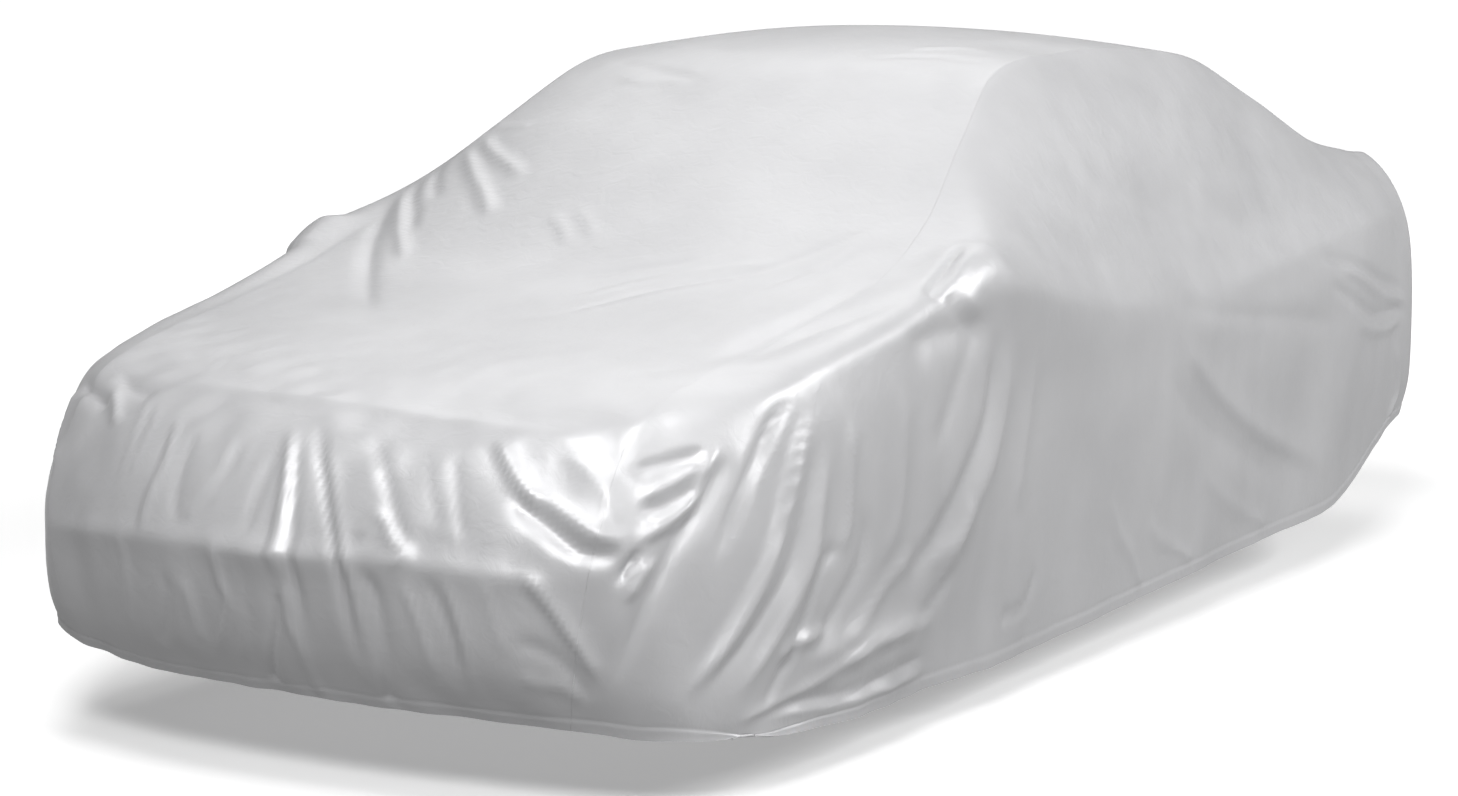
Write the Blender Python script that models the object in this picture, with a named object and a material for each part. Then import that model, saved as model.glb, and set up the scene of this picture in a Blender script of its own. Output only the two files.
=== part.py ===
"""Fitted car cover, draped shape: one top panel and two side panels of thin cloth.

Metres, +Z up, front of the covered car towards -Y, its left side towards +X.
The car itself is left out; the cover is a hollow shell, open underneath.
"""
import bpy
import numpy as np

CLOTH = 0.0015          # thickness of one layer of cloth
HEM = 0.003             # thickness where the cloth is folded double at the hem
GAP = 0.0003            # clearance between two panels at a seam
CROWN = 2.2             # how square the top panel's cross-section is
TOP_COLUMNS = 21        # points across the top panel, seam to seam
SIDE_COLUMNS = 10       # points down one side panel, seam to hem
STATIONS = 58           # points along the cover, front hem to rear hem
REST = (0.0, 0.35, 1.4711)   # underside of the roof, measured from the ground: the origin

# One row per cross-section, from the front hem over the bonnet and roof to the rear hem.
# centre line (y, z), seam (x, y, z), belt line (x, y, z), flank (x, y, z), hem (x, y, z),
# all measured from the ground under the middle of the wheelbase.
SECTIONS = [
    # name        yc     zc     xs    ys     zs     xb    yb     zb     xw    yw     zw     xh     yh     zh
    ("front_hem", -2.08, 0.19, 0.60, -2.02, 0.18, 0.72, -1.98, 0.17, 0.81, -1.91, 0.165, 0.87, -1.78, 0.155),
    ("bumper_lo", -2.17, 0.31, 0.64, -2.07, 0.29, 0.76, -1.99, 0.27, 0.85, -1.85, 0.23, 0.885, -1.66, 0.14),
    ("bumper", -2.21, 0.46, 0.67, -2.08, 0.44, 0.80, -1.95, 0.41, 0.88, -1.74, 0.33, 0.885, -1.52, 0.13),
    ("grille", -2.19, 0.58, 0.69, -2.05, 0.59, 0.84, -1.87, 0.56, 0.90, -1.62, 0.43, 0.885, -1.38, 0.12),
    ("hood_edge", -2.08, 0.72, 0.69, -1.93, 0.76, 0.86, -1.72, 0.75, 0.91, -1.48, 0.54, 0.885, -1.24, 0.12),
    ("hood_1", -1.86, 0.81, 0.71, -1.73, 0.84, 0.88, -1.50, 0.83, 0.92, -1.28, 0.60, 0.885, -1.06, 0.118),
    ("hood_2", -1.53, 0.88, 0.73, -1.42, 0.90, 0.89, -1.24, 0.89, 0.92, -1.05, 0.63, 0.885, -0.88, 0.115),
    ("cowl", -1.15, 0.95, 0.74, -1.05, 0.97, 0.90, -0.98, 0.95, 0.92, -0.82, 0.65, 0.885, -0.69, 0.113),
    ("screen_1", -0.85, 1.09, 0.71, -0.74, 1.08, 0.93, -0.76, 0.99, 0.92, -0.62, 0.66, 0.885, -0.53, 0.115),
    ("screen_2", -0.50, 1.28, 0.64, -0.42, 1.25, 0.90, -0.44, 0.95, 0.91, -0.38, 0.65, 0.885, -0.33, 0.12),
    ("header", -0.20, 1.42, 0.58, -0.12, 1.39, 0.88, -0.12, 0.92, 0.91, -0.08, 0.64, 0.885, -0.04, 0.127),
    ("roof_1", 0.20, 1.47, 0.58, 0.24, 1.42, 0.87, 0.25, 0.90, 0.91, 0.27, 0.64, 0.885, 0.29, 0.14),
    ("roof_2", 0.65, 1.46, 0.58, 0.66, 1.415, 0.87, 0.66, 0.89, 0.91, 0.66, 0.64, 0.885, 0.66, 0.15),
    ("roof_3", 1.05, 1.40, 0.58, 1.04, 1.375, 0.87, 1.04, 0.90, 0.91, 1.02, 0.65, 0.885, 1.00, 0.16),
    ("backlight", 1.45, 1.26, 0.59, 1.42, 1.255, 0.87, 1.38, 0.915, 0.91, 1.34, 0.66, 0.88, 1.30, 0.165),
    ("boot_1", 1.78, 1.11, 0.63, 1.73, 1.13, 0.87, 1.62, 0.925, 0.90, 1.56, 0.66, 0.87, 1.50, 0.20),
    ("boot_2", 2.05, 1.08, 0.66, 1.98, 1.08, 0.85, 1.83, 0.92, 0.89, 1.76, 0.65, 0.865, 1.68, 0.27),
    ("boot_edge", 2.28, 1.02, 0.66, 2.17, 1.03, 0.83, 2.02, 0.88, 0.88, 1.90, 0.60, 0.855, 1.82, 0.31),
    ("tail", 2.38, 0.72, 0.66, 2.25, 0.72, 0.80, 2.11, 0.64, 0.86, 1.99, 0.50, 0.845, 1.91, 0.33),
    ("rear_low", 2.36, 0.49, 0.64, 2.23, 0.49, 0.77, 2.12, 0.46, 0.83, 2.03, 0.41, 0.83, 1.98, 0.34),
    ("rear_hem", 2.28, 0.35, 0.60, 2.17, 0.35, 0.70, 2.11, 0.35, 0.76, 2.06, 0.35, 0.80, 2.03, 0.345),
]

# One row per large fold. Places on the cover are (station 0..20, across -2..2), where across
# is 0 on the centre line, 1 on the left seam, 2 on the left hem and negative on the right.
# width and height in metres; a positive height stands out, a negative one is a trough.
FOLDS = [
    # name             s0    c0     s1    c1     s2    c2     width  height
    ("ledge_left",     2.3,  0.00,  2.4,  0.50,  2.2,  1.00,  0.060,  0.016),
    ("ledge_right",    2.3,  0.05,  2.4, -0.50,  2.2, -1.10,  0.060,  0.016),
    ("pleat_1",        3.9, -0.62,  2.2, -0.56,  0.2, -0.50,  0.055,  0.014),
    ("pleat_2",        4.0, -0.30,  2.2, -0.26,  0.2, -0.28,  0.055, -0.014),
    ("pleat_3",        4.1, -0.08,  2.4,  0.06,  0.2,  0.00,  0.050,  0.022),
    ("pleat_4",        4.1,  0.05,  2.6,  0.20,  0.2,  0.18,  0.050, -0.018),
    ("pleat_5",        4.0,  0.34,  2.4,  0.36,  0.2,  0.42,  0.055,  0.014),
    ("pleat_6",        2.6,  0.62,  1.5,  0.66,  0.2,  0.74,  0.055, -0.012),
    ("swag_in",        4.1,  0.62,  3.2,  0.86,  2.8,  1.10,  0.060,  0.018),
    ("swag_out",       3.8,  1.28,  3.2,  1.25,  2.8,  1.10,  0.060,  0.020),
    ("lamp_hollow",    3.5,  0.92,  3.4,  1.05,  3.5,  1.22,  0.070, -0.024),
    ("corner_valley",  2.5,  1.12,  1.6,  1.17,  0.8,  1.22,  0.060, -0.020),
    ("corner_fold",    2.4,  0.81,  1.6,  0.98,  0.9,  1.15,  0.055,  0.014),
    ("wing_1",         4.2,  1.42,  2.6,  1.47,  0.6,  1.46,  0.060,  0.018),
    ("wing_2",         4.2,  1.56,  2.6,  1.63,  0.5,  1.60,  0.060,  0.018),
    ("wing_3",         4.4,  1.68,  3.0,  1.78,  1.2,  1.78,  0.060, -0.018),
    ("flank_1",        5.8,  1.46,  5.3,  1.64,  4.1,  1.92,  0.080, -0.018),
    ("flank_2",        6.8,  1.48,  6.2,  1.72,  5.1,  1.95,  0.090,  0.020),
    ("flank_3",        7.7,  1.46,  7.5,  1.72,  6.5,  1.95,  0.090, -0.014),
    ("flank_4",        9.2,  1.42,  8.9,  1.70,  8.4,  1.96,  0.120,  0.012),
    ("door_sweep",    10.9,  1.50, 11.9,  1.80, 14.0,  1.93,  0.110,  0.016),
    ("mirror_left",    7.0,  1.40,  7.5,  1.30,  8.0,  1.22,  0.100,  0.030),
    ("mirror_right",   7.0, -1.38,  7.5, -1.32,  8.0, -1.24,  0.110,  0.030),
    ("wing_ridge",     3.9,  1.25,  5.4,  1.31,  7.1,  1.36,  0.070,  0.012),
    ("belt_front",     7.4,  1.38,  9.2,  1.40, 11.4,  1.41,  0.090,  0.010),
    ("belt_rear",     11.2,  1.41, 13.4,  1.36, 16.8,  1.34,  0.080,  0.012),
    ("tail_fold",     13.6,  1.44, 14.8,  1.58, 16.4,  1.68,  0.070, -0.012),
    ("cabin_fold",    10.6,  1.16, 12.2,  1.27, 14.0,  1.27,  0.100, -0.008),
    ("right_1",        4.4, -1.48,  2.8, -1.52,  0.8, -1.50,  0.090,  0.016),
    ("right_2",        5.6, -1.44,  5.2, -1.66,  4.2, -1.94,  0.100, -0.016),
    ("right_3",        7.4, -1.44,  7.2, -1.70,  6.6, -1.95,  0.110,  0.016),
    ("right_4",       11.0, -1.46, 11.6, -1.74, 13.4, -1.94,  0.130,  0.014),
    ("right_5",       14.6, -1.36, 15.6, -1.56, 17.0, -1.72,  0.100, -0.012),
    ("rear_1",        17.4, -0.45, 18.6, -0.48, 19.8, -0.52,  0.110,  0.014),
    ("rear_2",        17.3,  0.10, 18.6,  0.08, 19.8,  0.04,  0.120, -0.012),
    ("rear_3",        17.4,  0.62, 18.6,  0.66, 19.8,  0.72,  0.110,  0.014),
]

# One row per panel: node name, first and last place across, colour (r, g, b).
PANELS = [
    # name               c_from  c_to   red    green  blue
    ("top_panel",        -1.0,   1.0,   0.66,  0.66,  0.68),
    ("left_side_panel",   1.0,   2.0,   0.60,  0.60,  0.62),
    ("right_side_panel", -2.0,  -1.0,   0.60,  0.60,  0.62),
]


def spline_weights(places, count):
    """Catmull-Rom weights of `count` control rows at each of the places."""
    places = np.asarray(places, float)
    base = np.clip(places.astype(int), 0, count - 2)
    f = places - base
    weights = [
        0.5 * (-f + 2 * f**2 - f**3),
        0.5 * (2 - 5 * f**2 + 3 * f**3),
        0.5 * (f + 4 * f**2 - 3 * f**3),
        0.5 * (f**3 - f**2),
    ]
    out = np.zeros((len(places), count + 2))
    for step, weight in enumerate(weights):
        out[np.arange(len(places)), base + step] += weight
    out[:, 1] += 2 * out[:, 0]
    out[:, 2] -= out[:, 0]
    out[:, -2] += 2 * out[:, -1]
    out[:, -3] -= out[:, -1]
    return out[:, 1:-1]


def section_curve(row, across):
    """One cross-section from the centre line (0) over the seam (1) down to the hem (2)."""
    yc, zc, xs, ys, zs = row[1:6]
    seam = np.array([xs, ys, zs])
    side = np.array(row[6:]).reshape(3, 3)
    u = np.clip(across, 0, 1)
    rise = u**CROWN
    top = np.stack([xs * u, yc + (ys - yc) * rise, zc + (zs - zc) * rise], -1)
    inner_rise = 0.9**CROWN
    inner = np.array([xs * 0.9, yc + (ys - yc) * inner_rise, zc + (zs - zc) * inner_rise])
    drop = seam - inner
    reach = 0.8 * np.linalg.norm(side[0] - seam)
    lead = seam - drop / np.linalg.norm(drop) * reach
    control = np.vstack([lead, seam, side])
    down = spline_weights(1 + 3 * np.clip(across - 1, 0, 1), 5) @ control
    return np.where((across <= 1)[:, None], top, down)


def lean(points):
    """The cover sits unevenly: its right wing is lower, its right front hem higher."""
    x, y, z = points[..., 0], points[..., 1], points[..., 2]
    right = np.clip(-x / 0.9, 0, 1)**2
    wing = right * np.exp(-((y + 1.35) / 0.55)**2)
    near = np.exp(-((x + 0.85)**2 + (y + 1.95)**2) / 0.30**2)
    low = np.clip(1 - z / 0.4, 0, 1)
    moved = points.copy()
    moved[..., 0] += 0.025 * wing
    moved[..., 2] -= 0.020 * wing * np.clip(z / 0.9, 0, 1)
    moved[..., 2] += 0.060 * near * np.clip(1 - (z - 0.15) / 0.4, 0, 1)
    moved[..., 2] -= 0.022 * x * low
    return moved


def surface(stations, across):
    """Grid of points of the smooth cover, one row per station, one column per place across."""
    across = np.asarray(across, float)
    curves = np.stack([section_curve(row, np.abs(across)) for row in SECTIONS])
    curves[..., 0] *= np.sign(across)[None, :]
    return lean(np.einsum("ij,jkl->ikl", spline_weights(stations, len(SECTIONS)), curves))


def normals(grid):
    """Outward unit normals of a grid of points."""
    along = np.gradient(grid, axis=0)
    side = np.gradient(grid, axis=1)
    facing = np.cross(side, along)
    return facing / np.linalg.norm(facing, axis=2, keepdims=True)


def fold_path(row):
    """Points along one fold, on the smooth cover."""
    t = np.linspace(0, 1, 17)
    start, middle, end = np.array(row[1:7]).reshape(3, 2)
    bow = 2 * middle - (start + end) / 2
    places = np.outer((1 - t)**2, start) + np.outer(2 * t * (1 - t), bow) + np.outer(t**2, end)
    return np.stack([surface([s], [c])[0, 0] for s, c in places])


def fold_height(grid, row):
    """How far one fold moves each point of the grid outwards."""
    width, height = row[7:9]
    path = fold_path(row)
    nearest = np.full(grid.shape[:2], 1e9)
    place = np.zeros(grid.shape[:2])
    for k in range(len(path) - 1):
        step = path[k + 1] - path[k]
        t = np.clip(((grid - path[k]) @ step) / (step @ step), 0, 1)
        away = np.linalg.norm(grid - path[k] - t[..., None] * step, axis=2)
        closer = away < nearest
        nearest = np.where(closer, away, nearest)
        place = np.where(closer, (k + t) / (len(path) - 1), place)
    fade_in = np.clip(place / 0.25, 0, 1)
    fade_out = np.clip((1 - place) / 0.20, 0, 1)
    open_end = 1.0 if row[5] < 1.0 or abs(row[6]) > 1.9 else 0.0
    taper = fade_in * np.maximum(fade_out, open_end)
    taper = taper * taper * (3 - 2 * taper)
    ridge = np.exp(-(nearest / width)**2) - 0.3 * np.exp(-(nearest / (2.2 * width))**2)
    return height * taper * ridge


def spread(low, high, count, axis):
    """`count` places from low to high, evenly spaced over the cloth."""
    fine = np.linspace(low, high, 241)
    if axis == "along":
        grid = surface(fine, [0.0, 0.7, 1.3])
        steps = np.linalg.norm(np.diff(grid, axis=0), axis=2).mean(axis=1)
    else:
        grid = surface(np.arange(2.0, 19.0), fine)
        steps = np.linalg.norm(np.diff(grid, axis=1), axis=2).mean(axis=0)
    reached = np.concatenate([[0.0], np.cumsum(steps)])
    return np.interp(np.linspace(0, reached[-1], count), reached, fine)


def stations():
    """Places along the cover: closer together at the front, with a narrow row at each hem."""
    front = spread(0.16, 4.4, 18, "along")
    body = spread(4.4, 19.78, STATIONS - 20, "along")
    return np.concatenate([[0.0], front, body[1:], [20.0]])


def columns():
    """Places across the cover, right hem to left hem, with a narrow column at each hem."""
    top = spread(0.0, 1.0, TOP_COLUMNS // 2 + 1, "across")
    side = spread(1.0, 1.965, SIDE_COLUMNS - 1, "across")
    half = np.concatenate([top, side[1:], [2.0]])
    return np.concatenate([-half[:0:-1], half])


def hem_band(along, across):
    """One where the cloth is doubled (the outermost rows and columns), zero elsewhere."""
    band = np.zeros((len(along), len(across)))
    band[:2, :] = 1.0
    band[-2:, :] = 1.0
    band[:, :2] = 1.0
    band[:, -2:] = 1.0
    return band


def cover_grid():
    """Outer points, unit normals and cloth thickness over the whole cover."""
    along = stations()
    across = columns()
    smooth = surface(along, across)
    out = normals(smooth)
    move = sum(fold_height(smooth, row) for row in FOLDS)
    outer = smooth + out * move[..., None] - np.array(REST)
    thick = CLOTH + (HEM - CLOTH) * hem_band(along, across)
    return outer, normals(outer), thick, across


def panel_grid(outer, facing, across, low, high):
    """The columns of one panel, with its seam edges drawn back by half the gap."""
    keep = (across >= low - 1e-6) & (across <= high + 1e-6)
    points = outer[:, keep].copy()
    first = points[:, 1] - points[:, 0]
    last = points[:, -2] - points[:, -1]
    if low > -2:
        points[:, 0] += first / np.linalg.norm(first, axis=1, keepdims=True) * GAP / 2
    if high < 2:
        points[:, -1] += last / np.linalg.norm(last, axis=1, keepdims=True) * GAP / 2
    return points, facing[:, keep], keep


def shell_faces(rows, cols):
    """Quads of a closed sheet: outer side, inner side and the four rims."""
    def outer(i, j):
        return i * cols + j

    def inner(i, j):
        return rows * cols + i * cols + j

    faces = []
    for i in range(rows - 1):
        for j in range(cols - 1):
            faces.append((outer(i, j), outer(i, j + 1), outer(i + 1, j + 1), outer(i + 1, j)))
            faces.append((inner(i, j), inner(i + 1, j), inner(i + 1, j + 1), inner(i, j + 1)))
    for i in range(rows - 1):
        faces.append((outer(i, 0), outer(i + 1, 0), inner(i + 1, 0), inner(i, 0)))
        last = cols - 1
        faces.append((outer(i, last), inner(i, last), inner(i + 1, last), outer(i + 1, last)))
    for j in range(cols - 1):
        faces.append((outer(0, j), inner(0, j), inner(0, j + 1), outer(0, j + 1)))
        last = rows - 1
        faces.append((outer(last, j), outer(last, j + 1), inner(last, j + 1), inner(last, j)))
    return faces


def cloth_material(name, colour):
    """Plain coated cloth."""
    material = bpy.data.materials.new(name)
    material.use_nodes = True
    shader = material.node_tree.nodes["Principled BSDF"]
    shader.inputs["Base Color"].default_value = (*colour, 1.0)
    shader.inputs["Roughness"].default_value = 0.45
    shader.inputs["Metallic"].default_value = 0.0
    return material


def make_panel(name, points, facing, thick, colour):
    """One panel as a closed solid sheet."""
    inner = points - facing * thick[..., None]
    vertices = np.concatenate([points.reshape(-1, 3), inner.reshape(-1, 3)])
    mesh = bpy.data.meshes.new(name)
    mesh.from_pydata(vertices.tolist(), [], shell_faces(*points.shape[:2]))
    mesh.validate()
    mesh.update()
    panel = bpy.data.objects.new(name, mesh)
    bpy.context.scene.collection.objects.link(panel)
    mesh.materials.append(cloth_material(name + "_cloth", colour))
    return panel


def build():
    """Clear the scene and make the three panels."""
    for old in list(bpy.data.objects):
        bpy.data.objects.remove(old, do_unlink=True)
    outer, facing, thick, across = cover_grid()
    for name, low, high, red, green, blue in PANELS:
        points, panel_facing, keep = panel_grid(outer, facing, across, low, high)
        make_panel(name, points, panel_facing, thick[:, keep], (red, green, blue))


build()
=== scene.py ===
import math

import bpy
import numpy as np
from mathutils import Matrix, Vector


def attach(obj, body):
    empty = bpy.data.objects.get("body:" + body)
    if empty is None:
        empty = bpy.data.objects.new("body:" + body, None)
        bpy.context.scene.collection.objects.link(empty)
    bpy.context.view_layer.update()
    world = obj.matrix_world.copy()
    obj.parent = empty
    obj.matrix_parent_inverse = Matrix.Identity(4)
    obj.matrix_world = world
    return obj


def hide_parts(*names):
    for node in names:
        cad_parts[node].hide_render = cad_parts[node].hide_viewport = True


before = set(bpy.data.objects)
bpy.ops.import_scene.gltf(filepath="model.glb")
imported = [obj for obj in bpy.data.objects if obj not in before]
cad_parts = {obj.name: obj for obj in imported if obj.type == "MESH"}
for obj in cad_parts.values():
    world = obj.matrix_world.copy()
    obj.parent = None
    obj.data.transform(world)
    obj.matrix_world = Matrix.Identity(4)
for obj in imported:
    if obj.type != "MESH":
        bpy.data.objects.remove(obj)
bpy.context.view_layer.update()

# A thin silver car cover over a sedan that is left out. Metres, +Z up, nose towards -Y,
# the car's left side towards +X. Everything is worked out from the ground under the middle
# of the wheelbase and then moved so that the underside of the roof is the origin, as in the
# CAD model.
REST = (0.0, 0.35, 1.4711)     # underside of the roof, measured from the ground
CLOTH = 0.0015                 # thickness of the sheet
HEM = 0.003                    # thickness where the sheet is doubled at its hem
HEM_WIDTH = 0.030              # height of the doubled hem band
HEM_RISE = 0.0015              # how far the hem band stands proud
STITCH_DEPTH = 0.0012          # how far the row of stitches draws the cloth in
GAP = 0.0003                   # clearance between two panels at a seam
CROWN = 2.2                    # how square the top panel's cross-section is
ROWS = 400                     # rows of points along the cover
TOP_COLUMNS = 117              # points across the top panel
SIDE_COLUMNS = 92              # points down one side panel
WEAVE_PITCH = 0.002            # distance between threads
PLACES = 20.0                  # stations run from 0, front hem, to 20, rear hem
PATH_POINTS = 25               # points along the path of one fold
TAPER = 0.22                   # share of a fold's length over which it rises or dies away
RIB_HEIGHT = 0.0022            # unevenness of the cloth: narrow hanging ribs
SWELL_HEIGHT = 0.0030          # unevenness of the cloth: broad soft swells
ECHO_WIDTH, ECHO_HEIGHT = 1.1, 0.8     # a hidden fold against the fold that it echoes
CAMERA_PLACE = (4.38, -7.81, 1.78)     # measured from the ground, as REST is
CAMERA_DOWN = 7.81             # degrees below level
CAMERA_TURN = 30.56            # degrees from facing +Y towards -X
CAMERA_LENS = 88.84            # millimetres, on a sensor 36 mm wide
FLOOR_SIZE = 400.0
FADE_START, FADE_END = 2.5, 8.0        # where the floor starts and ends fading to white
GROUND_GLOW = 0.40             # grey light from below, as a pale floor throws it back
LAMPS = [
    # name         place               aim                size        power
    ("front",      (3.3, -8.2, 4.6),   (0.0, -0.9, -0.6), (2.6, 2.6), 520),
    ("side_front", (7.5, -4.5, 4.0),   (0.3, -0.6, -0.6), (3.0, 3.0), 100),
    ("side_rear",  (7.0, 2.0, 3.0),    (0.3, 0.4, -0.6),  (3.0, 3.0), 440),
    ("over",       (-2.5, 3.5, 5.0),   (0.0, -0.6, -0.4), (6.0, 5.0), 165),
    ("overhead",   (0.5, -3.6, 5.5),   (0.0, -0.9, -0.4), (3.0, 3.0), 290),
]
PANELS = [
    # name                 node                c_from  c_to
    ("cover_top",          "top_panel",        -1.0,   1.0),
    ("cover_left_side",    "left_side_panel",   1.0,   2.0),
    ("cover_right_side",   "right_side_panel", -2.0,  -1.0),
]

SECTIONS = [
    # name        yc     zc     xs    ys     zs     xb    yb     zb     xw    yw     zw     xh     yh     zh
    ("front_hem", -2.08, 0.19, 0.60, -2.02, 0.18, 0.72, -1.98, 0.17, 0.81, -1.91, 0.165, 0.87, -1.78, 0.155),
    ("bumper_lo", -2.17, 0.31, 0.64, -2.07, 0.29, 0.76, -1.99, 0.27, 0.85, -1.85, 0.23, 0.885, -1.66, 0.14),
    ("bumper", -2.21, 0.46, 0.67, -2.08, 0.44, 0.80, -1.95, 0.41, 0.88, -1.74, 0.33, 0.885, -1.52, 0.13),
    ("grille", -2.19, 0.58, 0.69, -2.05, 0.59, 0.84, -1.87, 0.56, 0.90, -1.62, 0.43, 0.885, -1.38, 0.12),
    ("hood_edge", -2.08, 0.72, 0.69, -1.93, 0.76, 0.86, -1.72, 0.75, 0.91, -1.48, 0.54, 0.885, -1.24, 0.12),
    ("hood_1", -1.86, 0.81, 0.71, -1.73, 0.84, 0.88, -1.50, 0.83, 0.92, -1.28, 0.60, 0.885, -1.06, 0.118),
    ("hood_2", -1.53, 0.88, 0.73, -1.42, 0.90, 0.89, -1.24, 0.89, 0.92, -1.05, 0.63, 0.885, -0.88, 0.115),
    ("cowl", -1.15, 0.95, 0.74, -1.05, 0.97, 0.90, -0.98, 0.95, 0.92, -0.82, 0.65, 0.885, -0.69, 0.113),
    ("screen_1", -0.85, 1.09, 0.71, -0.74, 1.08, 0.93, -0.76, 0.99, 0.92, -0.62, 0.66, 0.885, -0.53, 0.115),
    ("screen_2", -0.50, 1.28, 0.64, -0.42, 1.25, 0.90, -0.44, 0.95, 0.91, -0.38, 0.65, 0.885, -0.33, 0.12),
    ("header", -0.20, 1.42, 0.58, -0.12, 1.39, 0.88, -0.12, 0.92, 0.91, -0.08, 0.64, 0.885, -0.04, 0.127),
    ("roof_1", 0.20, 1.47, 0.58, 0.24, 1.42, 0.87, 0.25, 0.90, 0.91, 0.27, 0.64, 0.885, 0.29, 0.14),
    ("roof_2", 0.65, 1.46, 0.58, 0.66, 1.415, 0.87, 0.66, 0.89, 0.91, 0.66, 0.64, 0.885, 0.66, 0.15),
    ("roof_3", 1.05, 1.40, 0.58, 1.04, 1.375, 0.87, 1.04, 0.90, 0.91, 1.02, 0.65, 0.885, 1.00, 0.16),
    ("backlight", 1.45, 1.26, 0.59, 1.42, 1.255, 0.87, 1.38, 0.915, 0.91, 1.34, 0.66, 0.88, 1.30, 0.165),
    ("boot_1", 1.78, 1.11, 0.63, 1.73, 1.13, 0.87, 1.62, 0.925, 0.90, 1.56, 0.66, 0.87, 1.50, 0.20),
    ("boot_2", 2.05, 1.08, 0.66, 1.98, 1.08, 0.85, 1.83, 0.92, 0.89, 1.76, 0.65, 0.865, 1.68, 0.27),
    ("boot_edge", 2.28, 1.02, 0.66, 2.17, 1.03, 0.83, 2.02, 0.88, 0.88, 1.90, 0.60, 0.855, 1.82, 0.31),
    ("tail", 2.38, 0.72, 0.66, 2.25, 0.72, 0.80, 2.11, 0.64, 0.86, 1.99, 0.50, 0.845, 1.91, 0.33),
    ("rear_low", 2.36, 0.49, 0.64, 2.23, 0.49, 0.77, 2.12, 0.46, 0.83, 2.03, 0.41, 0.83, 1.98, 0.34),
    ("rear_hem", 2.28, 0.35, 0.60, 2.17, 0.35, 0.70, 2.11, 0.35, 0.76, 2.06, 0.35, 0.80, 2.03, 0.345),
]

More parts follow.
